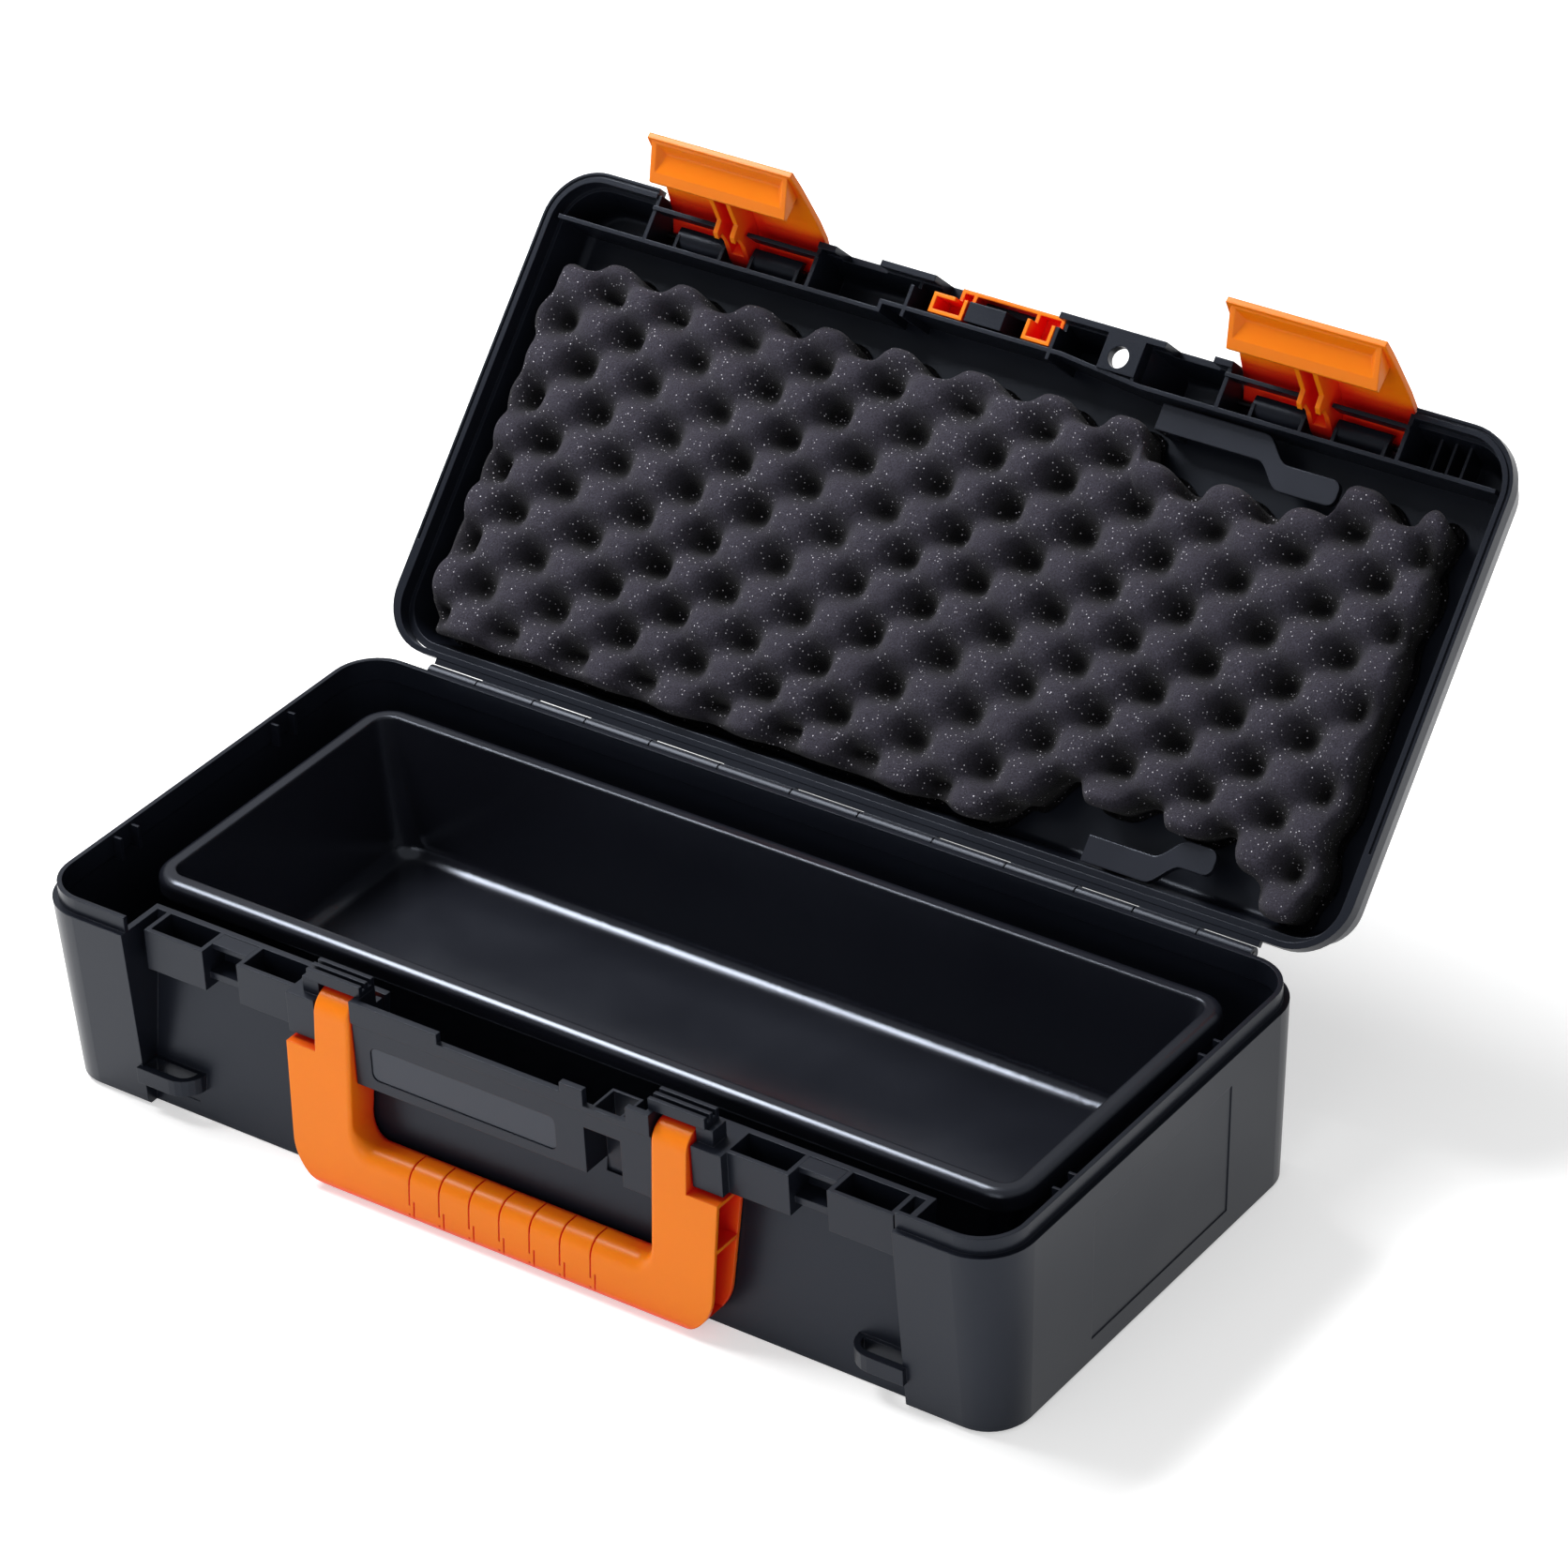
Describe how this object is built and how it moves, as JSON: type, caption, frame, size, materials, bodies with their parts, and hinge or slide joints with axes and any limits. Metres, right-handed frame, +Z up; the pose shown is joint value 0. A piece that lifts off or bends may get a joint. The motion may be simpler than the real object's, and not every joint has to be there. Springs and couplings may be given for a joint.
{
  "type": "hard tool case",
  "caption": "Hard plastic tool case with an open hinged lid, over-centre latches, folding handle, sliding lock, lift-out tray and convoluted foam in the lid.",
  "frame": {"origin": "centre of the base's underside", "axes": "+X along the case's length towards the padlock side, +Y from the handle side towards the hinge, +Z up"},
  "size_m": [0.454, 0.3834, 0.2715],
  "materials": {
    "case_black": "fine satin texture, slightly blue black",
    "insert_black": "smooth satin",
    "clip_black": "smooth satin",
    "tray_black": "glossy, drawn from sheet",
    "orange": "satin, slightly translucent",
    "foam": "open-cell convoluted foam with pale specks",
    "pin_steel": "plain wire"
  },
  "bodies": {
    "base": {"base_shell": "case_black", "latch_keeper_left": "case_black", "latch_keeper_right": "case_black", "name_insert": "insert_black", "hinge_pin": "pin_steel", "handle_pin_left": "pin_steel", "handle_pin_right": "pin_steel", "handle_cap_left": "case_black", "handle_cap_right": "case_black"},
    "lid": {"lid_shell": "case_black", "lid_foam": "foam", "tool_clip_front": "clip_black", "tool_clip_rear": "clip_black", "latch_pin_left": "pin_steel", "latch_pin_right": "pin_steel"},
    "latch_left": {"latch_left": "orange"},
    "latch_right": {"latch_right": "orange"},
    "lock_slide": {"lock_slide": "orange"},
    "handle": {"handle": "orange"},
    "tray": {"tray": "tray_black"}
  },
  "joints": [
    {"name": "lid_hinge", "type": "hinge", "parent": "base", "child": "lid", "pos_m": [0, 0.1102, 0.0813], "axis": [1, 0, 0], "range_deg": [0, 133]},
    {"name": "latch_left_pivot", "type": "hinge", "parent": "lid", "child": "latch_left", "pos_m": [-0.1372, 0.25997, 0.21743], "axis": [1, 0, 0], "range_deg": [-60, 14]},
    {"name": "latch_right_pivot", "type": "hinge", "parent": "lid", "child": "latch_right", "pos_m": [0.1372, 0.25997, 0.21743], "axis": [1, 0, 0], "range_deg": [-60, 14]},
    {"name": "lock_slide_travel", "type": "slide", "parent": "lid", "child": "lock_slide", "axis": [1, 0, 0], "range_m": [-0.0094, 0]},
    {"name": "handle_pivot", "type": "hinge", "parent": "base", "child": "handle", "pos_m": [0, -0.0923, 0.0764], "axis": [-1, 0, 0], "range_deg": [0, 95]},
    {"name": "tray_lift", "type": "slide", "parent": "base", "child": "tray", "axis": [0, 0, 1], "range_m": [0, 0.12]}
  ]
}
